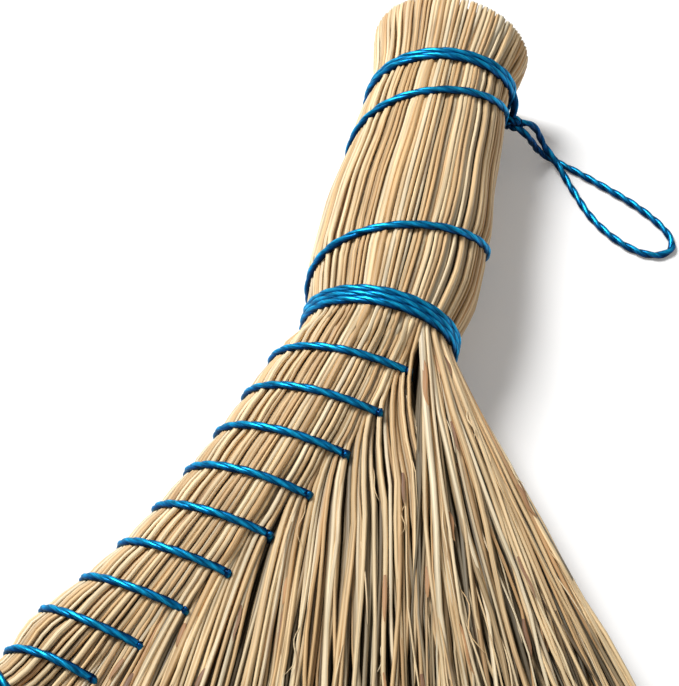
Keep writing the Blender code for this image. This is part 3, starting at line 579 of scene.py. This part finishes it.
def gatheredUnit(unit):
    # Near the binding the straws of one bundle crowd together
    if unit >= spineUnits or unit < units["tip"]:
        return unit
    middle = math.floor(unit) + 0.5
    return middle + (unit - middle) * (1 - brush["gather"])


def closingShift(unit):
    # Sideways, so that the straws released at the neck and at the first stitch close up below the notch
    if unit >= spineUnits:
        return -brush["closingNeck"] * (units["all"] - unit) / units["neck"]
    return brush["closingSpine"] * max(0.0, 1 - (spineUnits - unit) / units["neck"])


def ripple(rng, at, length, span):
    # A wave with a random start, whose length is drawn from a span
    return np.sin(2 * np.pi * at / (length * rng.uniform(*span)) + rng.uniform(*anyTurn))


def freeLine(rng, unit, root, level, wander, turned):
    # From the binding to the trimmed tips, and how deep in the brush it lies
    spread = wander * rng.normal() * brush["spread"]
    outermost = unit > units["all"] - brush["outermost"]
    if outermost:
        spread = brush["outermostSpread"] * abs(spread)
    heading = math.radians(brushHeading(unit) + turned + spread)
    ahead = np.array([math.sin(heading), -math.cos(heading)])
    aside = np.array([-ahead[1], ahead[0]])
    scatter = brush["trimScatter"] * rng.random() ** 2
    if rng.random() < brush["shortShare"]:
        scatter *= brush["shortTimes"]
    whole = trimReach(root, ahead, scatter)
    count = max(brush["fewestSteps"], int(whole / brush["step"]) + 1)
    reach = whole * (np.arange(1, count + 1) / count)
    reach = reach[reach > brush["bendAfter"]]
    wave = np.zeros(len(reach))
    lift = np.zeros(len(reach))
    for length, size in brush["waves"]:
        wave += size * ripple(rng, reach, length, brush["waveSpan"])
        lift += brush["lift"] * size * ripple(rng, reach, length, brush["waveSpan"])
    grow = wander * np.minimum(reach / brush["growOver"], brush["growMost"])
    if outermost:
        wave = brush["outermostWave"] * np.abs(wave)
    wave = wave * grow + closingShift(unit) * ease(reach / brush["closingOver"])
    plan = root[:2] + reach[:, None] * ahead + wave[:, None] * aside
    tip = (level + 1) / 2 * brush["tipThickness"]
    high = mix(root[2], tip, reach / whole) + lift * grow
    depth = (1 - abs(level)) * mix(*brush["depth"], reach / whole)
    return np.hstack([plan, np.maximum(high, brush["lowest"])[:, None]]), depth


def strawLine(rng, unit, x, z, sink, start, dense=False, buried=0.0, wander=1.0, turned=0.0):
    # The middle line of one straw from its start station to its tip, with shares of age along it and how dim
    # it is, because little light reaches the straws that lie deep in the bundle. An outer straw starts level
    # with its neighbours, and one that is buried starts that much deeper, out of sight
    release = releaseStation(unit)
    step = straw["step"] if dense else straw["coarseStep"]
    bendBefore = straw["bendBefore"]
    if release <= bendBefore + straw["bendRoom"]:
        bendBefore = straw["bendAtNeck"]
    leave = release - bendBefore
    count = max(3, int((leave - start) / step) + 1)
    station = np.linspace(start, leave, count)
    first = min(sink, straw["radius"]) if dense else sink + buried
    bound = boundPlace(unit, x, z, station, mix(first, sink, ease((station - start) / straw["evenOver"])))
    wave = straw["wave"] * ripple(rng, station, 1, straw["waveLength"])
    bound[:, 0] += wave * (straw["denseWave"] if dense else 1) * ease((station - start) / straw["waveOver"])
    root = boundPlace(unit, x, z, np.array([release]), sink)[0]
    held = gatheredUnit(unit)
    if held != unit:
        root[:2] = boundPlace(held, x, z, np.array([releaseStation(held)]), sink)[0][:2]
    free, freeDepth = freeLine(rng, unit, root, levelIn(x, z), wander, turned)
    share = np.linspace(0, 1, straw["bendPoints"] + 2)[1:-1, None]
    bend = (1 - share) ** 2 * bound[-1] + 2 * share * (1 - share) * root + share ** 2 * free[0]
    line = np.vstack([bound, bend, free])
    run = runAlong(line)
    age = np.clip((run - run[count - 1]) / max(run[-1] - run[count - 1], 1), 0, 1)
    boundDepth = sink + straw["reference"] * (1 - math.hypot(x, z))
    bendDepth = mix(boundDepth, freeDepth[0], share[:, 0])
    depth = np.concatenate([np.full(count, boundDepth), bendDepth, freeDepth])
    dim = np.clip((depth - straw["dimFrom"]) / straw["dimOver"], 0, 1)
    if rng.random() < straw["litShare"]:
        dim = dim * straw["litDim"]
    fromEnd = np.minimum(run / straw["litEnd"], (run[-1] - run) / straw["litTip"])
    return line, age, dim * ease(fromEnd)


def addStraw(bundles, rng, unit, made, radius):
    line, age, dim = made
    thick = radius * mix(1, straw["tipShare"], age ** straw["thinning"])
    thick[-1] *= straw["endShare"]
    bundles[bundleOf(unit)].append(dict(line=line, thick=thick, age=age, dim=dim, tone=rng.random(),
                                        turn=rng.uniform(*anyTurn)))


def addStalks(bundles, rng):
    # Every stalk of the handle, ring by ring from the outside in, given to its bundle
    layers = int((straw["reference"] - straw["innermost"] - straw["radius"]) / straw["layer"]) + 1
    for layer in range(layers):
        sink = straw["radius"] + layer * straw["layer"]
        share = 1 - (sink - straw["radius"]) / straw["reference"]
        count = int(2 * math.pi * (straw["reference"] - sink) / straw["pitch"])
        phase = rng.random()
        for number in range(count):
            angle = 2 * math.pi * (number + phase + rng.normal() * straw["placing"]) / count
            x, z = share * math.cos(angle), share * math.sin(angle)
            unit = units["all"] * (x + 1) / 2
            start = -handle["length"] + rng.uniform(*straw["raggedSpan"]) * straw["ragged"]
            depth = straw["radius"] + rng.uniform(0, straw["uneven"])
            if rng.random() < straw["deep"]:
                depth += straw["deeper"]
            made = strawLine(rng, unit, x, z, depth, start, dense=layer < straw["denseLayers"])
            radius = straw["radius"] * rng.normal(1, straw["radiusSpread"])
            addStraw(bundles, rng, unit, made, float(np.clip(radius, *straw["radiusRange"])))


twig = dict(perUnit=96, neckPerUnit=110, tipPerUnit=40, radius=0.42, spread=0.12, radiusRange=(0.24, 0.62),
            back=9.0, backSpread=6, firstStart=-1.0, sink=0.7, buried=1.1, highest=0.97, thinColumn=0.02,
            wander=1.35)


def addTwigs(bundles, rng):
    # Finer straw that starts inside the binding and fills the brush
    for unitIndex in range(units["all"]):
        count = twig["perUnit"]
        if unitIndex >= spineUnits:
            count = twig["neckPerUnit"]
        if unitIndex < units["tip"]:
            count = twig["tipPerUnit"]
        for _ in range(count):
            unit = unitIndex + rng.random()
            x = 2 * unit / units["all"] - 1
            level = rng.uniform(-twig["highest"], twig["highest"])
            z = level * math.sqrt(max(1 - x * x, twig["thinColumn"]))
            start = releaseStation(unit) - twig["back"] - rng.uniform(0, twig["backSpread"])
            made = strawLine(rng, unit, x, z, twig["sink"], max(start, twig["firstStart"]),
                             buried=twig["buried"], wander=twig["wander"])
            radius = rng.normal(twig["radius"], twig["spread"])
            addStraw(bundles, rng, unit, made, float(np.clip(radius, *twig["radiusRange"])))


notch = dict(straws=100, onTopEvery=3, sink=0.9, radiusRange=(0.3, 0.55),
             onTop=dict(reach=0.3, power=1, levels=(0.55, 0.94), turned=7),
             inside=dict(reach=0.9, power=2, levels=(-0.9, 0.7), turned=8))


def closeNotch(bundles, rng):
    # Loose straws between the neck and the first stitch, every third one on top
    for number in range(notch["straws"]):
        where = notch["inside" if number % notch["onTopEvery"] else "onTop"]
        unit = spineUnits + where["reach"] * rng.random() ** where["power"]
        x = 2 * unit / units["all"] - 1
        z = rng.uniform(*where["levels"]) * math.sqrt(1 - x * x)
        turned = -rng.uniform(0, where["turned"])
        made = strawLine(rng, unit, x, z, notch["sink"], twig["firstStart"], buried=twig["buried"],
                         turned=turned)
        addStraw(bundles, rng, unit, made, rng.uniform(*notch["radiusRange"]))


# Bits of brown leaf that still cling to the stalks, and thin broken fibres
husk = dict(count=70, length=(4.0, 11.0), width=(0.3, 0.68), furthest=70, curl=(0.1, 0.9), rise=0.5,
            tone=(-0.7, 0.0), flat=0.5)
wisp = dict(count=46, length=(7.0, 19.0), width=(0.12, 0.22), furthest=90, curl=(0.5, 2.4), rise=1.1,
            tone=(0.3, 1.0), flat=1.0)
scraps = dict(points=9, dimBelow=0.1, height=7, nearest=2, hook=0.4, hookTurn=(3, 7), standOff=0.45,
              taper=0.86, blunt=0.12, fullness=0.6, age=0.2, mapFrom=20.0)


def addScraps(bundles, rng):
    # Each lies along the free part of a straw that shows on top
    onTop = [(index, one) for index, straws in bundles.items() for one in straws
             if one["dim"][-3] < scraps["dimBelow"] and one["line"][-3][2] > scraps["height"]]
    along = np.linspace(0, 1, scraps["points"])
    shape = np.sin(np.pi * np.clip(along * scraps["taper"] + scraps["blunt"], 0, 1)) ** scraps["fullness"]
    for kind in [husk] * husk["count"] + [wisp] * wisp["count"]:
        index, one = onTop[rng.integers(len(onTop))]
        run = runAlong(one["line"])
        start = run[np.argmax(one["age"] > 0)] + rng.uniform(scraps["nearest"], kind["furthest"])
        points = readLine(one["line"], run, start + along * rng.uniform(*kind["length"]))
        ahead = points[-1] - points[0]
        aside = np.array([-ahead[1], ahead[0], 0]) / np.hypot(ahead[0], ahead[1]) * rng.choice((-1, 1))
        curl = rng.uniform(*kind["curl"])
        swing = curl * (along ** 2 + scraps["hook"] * np.sin(along * rng.uniform(*scraps["hookTurn"])))
        points = points + aside * swing[:, None]
        points[:, 2] += scraps["standOff"] + kind["rise"] * along
        width = rng.uniform(*kind["width"])
        bundles[index].append(dict(line=points, thick=width * shape, age=along * scraps["age"], dim=along * 0,
                                   tone=rng.uniform(*kind["tone"]), turn=0.0, flat=kind["flat"],
                                   mapFrom=scraps["mapFrom"]))


bundles = {index: [] for index in range(1, spineUnits + 2)}
rng = np.random.default_rng(straw["seed"])
addStalks(bundles, rng)
addTwigs(bundles, rng)
closeNotch(bundles, rng)
addScraps(bundles, rng)
strawPieces = []
for index, straws in bundles.items():
    name = f"strawBundle_{index:02d}"
    mesh = bendStraws(name, straws)
    strawPieces.append(linkPiece(name, mesh, "broom", "straw", f"stalk_bundle_{index:02d}",
                                 f"brush_{index:02d}"))
    print(name, len(straws), "straws,", sum(len(face.vertices) - 2 for face in mesh.polygons), "triangles")

# Materials. A fade holds the values it starts and ends at, and what it gives there
strawColours = dict(
    tones=((0.2, (0.20, 0.085, 0.03)), (0.48, (0.56, 0.28, 0.11)), (0.55, (0.68, 0.42, 0.19)),
           (0.67, (0.85, 0.60, 0.32)), (0.85, (0.92, 0.72, 0.44)), (1.0, (0.96, 0.82, 0.58))),
    cut=(0.92, 0.85, 0.70), cutFade=(0.15, 0.5, 0.8, 0.0), olive=(0.56, 0.45, 0.24),
    oliveFade=(0.0, 0.7, 0.0, 0.3), stain=(0.30, 0.13, 0.045), stainFade=(0.60, 0.74, 0.0, 0.5),
    streakFade=(0.32, 0.68, 0.6, 1.15), dimFade=(0.0, 1.0, 1.0, 0.22), roughnessFade=(0.2, 0.8, 0.42, 0.62),
    relief=(0.5, 0.0002), around=9.0, along=0.045)
# Cord crest colours: painted shade (navy) up to a painted highlight (cyan); the groove fade: painted shade
cordColours = dict(
    paintedCrestLight=((0.5, (0.0008, 0.012, 0.07)), (0.7, (0.001, 0.06, 0.24)), (0.88, (0.004, 0.24, 0.58)),
           (1.0, (0.014, 0.52, 0.90))),
    roughness=0.36, sheen=0.65, tint=(0.25, 0.75, 1.0), paintedGrooveShadeFade=(0.7, 1.0, 0.5, 1.0),
    streakFade=(0.35, 0.65, 0.45, 1.3), relief=(0.4, 0.0001), around=4.0, along=0.5)
strand = dict(offset=37.0, streakDetail=3.0, patchAround=0.6, patchAlong=0.9, patchDetail=2.0)


def strandPattern():
    # Along a straw or a ply: Streak for its colour, roughness and relief, and Patch for stains
    group = bpy.data.node_groups.new("strandPattern", "ShaderNodeTree")
    for label, kind in (("Map", "NodeSocketVector"), ("Offset", "NodeSocketFloat"),
                        ("Around", "NodeSocketFloat"), ("Along", "NodeSocketFloat")):
        group.interface.new_socket(name=label, in_out="INPUT", socket_type=kind)
    for label in ("Streak", "Patch"):
        group.interface.new_socket(name=label, in_out="OUTPUT", socket_type="NodeSocketFloat")
    nodes, links = group.nodes, group.links
    source, result = nodes.new("NodeGroupInput"), nodes.new("NodeGroupOutput")
    split = nodes.new("ShaderNodeSeparateXYZ")
    links.new(source.outputs["Map"], split.inputs[0])

    def times(a, b):
        node = nodes.new("ShaderNodeMath")
        node.operation = "MULTIPLY"
        for socket, value in zip(node.inputs, (a, b)):
            if isinstance(value, float):
                socket.default_value = value
            else:
                links.new(value, socket)
        return node.outputs[0]

    def noise(aroundValue, alongValue, detail):
        join = nodes.new("ShaderNodeCombineXYZ")
        links.new(aroundValue, join.inputs[0])
        links.new(alongValue, join.inputs[1])
        links.new(times(source.outputs["Offset"], strand["offset"]), join.inputs[2])
        texture = nodes.new("ShaderNodeTexNoise")
        texture.inputs["Scale"].default_value = 1
        texture.inputs["Detail"].default_value = detail
        links.new(join.outputs[0], texture.inputs["Vector"])
        return texture.outputs["Fac"]

    around, along = split.outputs[0], split.outputs[1]
    streak = noise(times(around, source.outputs["Around"]), times(along, source.outputs["Along"]),
                   strand["streakDetail"])
    patch = noise(times(around, strand["patchAround"]),
                  times(times(along, source.outputs["Along"]), strand["patchAlong"]), strand["patchDetail"])
    links.new(streak, result.inputs["Streak"])
    links.new(patch, result.inputs["Patch"])
    return group


pattern = strandPattern()


def startMaterial(name, look):
    material = bpy.data.materials.new(name)
    material.use_nodes = True
    nodes, links = material.node_tree.nodes, material.node_tree.links
    strands = nodes.new("ShaderNodeGroup")
    strands.node_tree = pattern
    strands.inputs["Around"].default_value = look["around"]
    strands.inputs["Along"].default_value = look["along"]
    return material, nodes, links, nodes["Principled BSDF"], strands


def attribute(nodes, name, output="Fac"):
    node = nodes.new("ShaderNodeAttribute")
    node.attribute_name = name
    return node.outputs[output]


def ramp(nodes, links, value, stops):
    node = nodes.new("ShaderNodeValToRGB")
    elements = node.color_ramp.elements
    while len(elements) < len(stops):
        elements.new(0.5)
    for element, (place, colour) in zip(elements, stops):
        element.position = place
        element.color = (*colour, 1)
    links.new(value, node.inputs["Fac"])
    return node.outputs["Color"]


def blendColours(nodes, links, share, a, b, mode="MIX"):
    node = nodes.new("ShaderNodeMix")
    node.data_type = "RGBA"
    node.blend_type = mode
    for number, value in zip((0, 6, 7), (share, a, b)):  # the factor's socket and those of the two colours
        socket = node.inputs[number]
        if isinstance(value, float):
            socket.default_value = value
        elif isinstance(value, tuple):
            socket.default_value = (*value, 1)
        else:
            links.new(value, socket)
    return node.outputs[2]


def bumped(nodes, links, shader, height, strength, distance):
    bump = nodes.new("ShaderNodeBump")
    bump.inputs["Strength"].default_value = strength
    bump.inputs["Distance"].default_value = distance
    links.new(height, bump.inputs["Height"])
    links.new(bump.outputs[0], shader.inputs["Normal"])


def valueRamp(nodes, links, value, low, high, lowValue=0.0, highValue=1.0):
    node = nodes.new("ShaderNodeMapRange")
    for label, number in (("From Min", low), ("From Max", high), ("To Min", lowValue), ("To Max", highValue)):
        node.inputs[label].default_value = number
    links.new(value, node.inputs["Value"])
    return node.outputs[0]


def makeStrawMaterial():
    # A tone for each straw, paler at the cut end, greener towards the tip, stained in places and dim inside
    material, nodes, links, shader, strands = startMaterial("dryStraw", strawColours)
    uv = nodes.new("ShaderNodeUVMap")
    uv.uv_map = "alongStraw"
    links.new(uv.outputs[0], strands.inputs["Map"])
    split = nodes.new("ShaderNodeSeparateXYZ")
    links.new(uv.outputs[0], split.inputs[0])
    tone = attribute(nodes, "tone")
    links.new(tone, strands.inputs["Offset"])
    streak = strands.outputs["Streak"]
    colour = ramp(nodes, links, valueRamp(nodes, links, tone, -1.0, 1.0), strawColours["tones"])
    for label, value in (("cut", split.outputs[1]), ("olive", attribute(nodes, "age")),
                         ("stain", strands.outputs["Patch"])):
        share = valueRamp(nodes, links, value, *strawColours[label + "Fade"])
        colour = blendColours(nodes, links, share, colour, strawColours[label])
    for label, value in (("streakFade", streak), ("dimFade", attribute(nodes, "dim"))):
        shade = valueRamp(nodes, links, value, *strawColours[label])
        colour = blendColours(nodes, links, 1.0, colour, shade, "MULTIPLY")
    links.new(colour, shader.inputs["Base Color"])
    links.new(valueRamp(nodes, links, streak, *strawColours["roughnessFade"]), shader.inputs["Roughness"])
    bumped(nodes, links, shader, streak, *strawColours["relief"])
    return material


def makeCordMaterial():
    # A painted highlight where the cord faces out, painted shade in the grooves and towards the straw,
    # with fine filaments along it
    material, nodes, links, shader, strands = startMaterial("blueCord", cordColours)
    links.new(attribute(nodes, "filament", "Vector"), strands.inputs["Map"])
    streak = strands.outputs["Streak"]
    # Painted highlight where the cord faces out, painted shade where it faces what it lies on
    paintedLightShare = valueRamp(nodes, links, attribute(nodes, "paintedCrestLight"), -1.0, 1.0)
    colour = ramp(nodes, links, paintedLightShare, cordColours["paintedCrestLight"])
    # The ridge value darkens the grooves between the plies: painted shade
    for label, value in (("paintedGrooveShadeFade", attribute(nodes, "ridge")), ("streakFade", streak)):
        shade = valueRamp(nodes, links, value, *cordColours[label])
        colour = blendColours(nodes, links, 1.0, colour, shade, "MULTIPLY")
    links.new(colour, shader.inputs["Base Color"])
    shader.inputs["Roughness"].default_value = cordColours["roughness"]
    shader.inputs["Metallic"].default_value = cordColours["sheen"]
    shader.inputs["Specular Tint"].default_value = (*cordColours["tint"], 1)
    bumped(nodes, links, shader, streak, *cordColours["relief"])
    return material


for piece in cordPieces:
    piece.data.materials.clear()
for pieces, material in ((strawPieces, makeStrawMaterial()), (cordPieces, makeCordMaterial())):
    for piece in pieces:
        piece.data.materials.append(material)
print("materials set")

# Floor and light
studio = dict(floorSize=3.0, floorColour=(0.94, 0.94, 0.94), floorRoughness=0.8, floorGlow=0.1, world=0.27,
              aim=(-5, -10, 15),
              lamps=(("keyLamp", (-480, 260, 800), 330, 10.2), ("fillLamp", (300, -350, 420), 400, 0.2)))


def makeFloor():
    bm = bmesh.new()
    bmesh.ops.create_grid(bm, x_segments=1, y_segments=1, size=studio["floorSize"])
    mesh = bpy.data.meshes.new("floor")
    bm.to_mesh(mesh)
    bm.free()
    floor = bpy.data.objects.new("floor", mesh)
    scene.collection.objects.link(floor)
    material = bpy.data.materials.new("paleFloor")
    material.use_nodes = True
    nodes, links = material.node_tree.nodes, material.node_tree.links
    shader = nodes["Principled BSDF"]
    shader.inputs["Base Color"].default_value = (*studio["floorColour"], 1)
    shader.inputs["Roughness"].default_value = studio["floorRoughness"]
    shader.inputs["Emission Color"].default_value = (1, 1, 1, 1)
    path = nodes.new("ShaderNodeLightPath")
    links.new(valueRamp(nodes, links, path.outputs["Is Camera Ray"], 0.0, 1.0, 0.0, studio["floorGlow"]),
              shader.inputs["Emission Strength"])
    mesh.materials.append(material)


def makeWorld():
    world = bpy.data.worlds.new("studio")
    scene.world = world
    world.use_nodes = True
    nodes, links = world.node_tree.nodes, world.node_tree.links
    background = nodes["Background"]
    background.inputs["Color"].default_value = (1, 1, 1, 1)
    path = nodes.new("ShaderNodeLightPath")
    links.new(valueRamp(nodes, links, path.outputs["Is Camera Ray"], 0.0, 1.0, studio["world"], 1.0),
              background.inputs["Strength"])


def makeLamps():
    middle = Vector(toFrame(studio["aim"]))
    for name, place, size, power in studio["lamps"]:
        data = bpy.data.lights.new(name, "AREA")
        data.size = size * mm
        data.energy = power
        lamp = bpy.data.objects.new(name, data)
        scene.collection.objects.link(lamp)
        lamp.location = toFrame(place)
        lamp.rotation_euler = (middle - lamp.location).to_track_quat("-Z", "Y").to_euler()


makeFloor()
makeWorld()
makeLamps()
print("studio set")
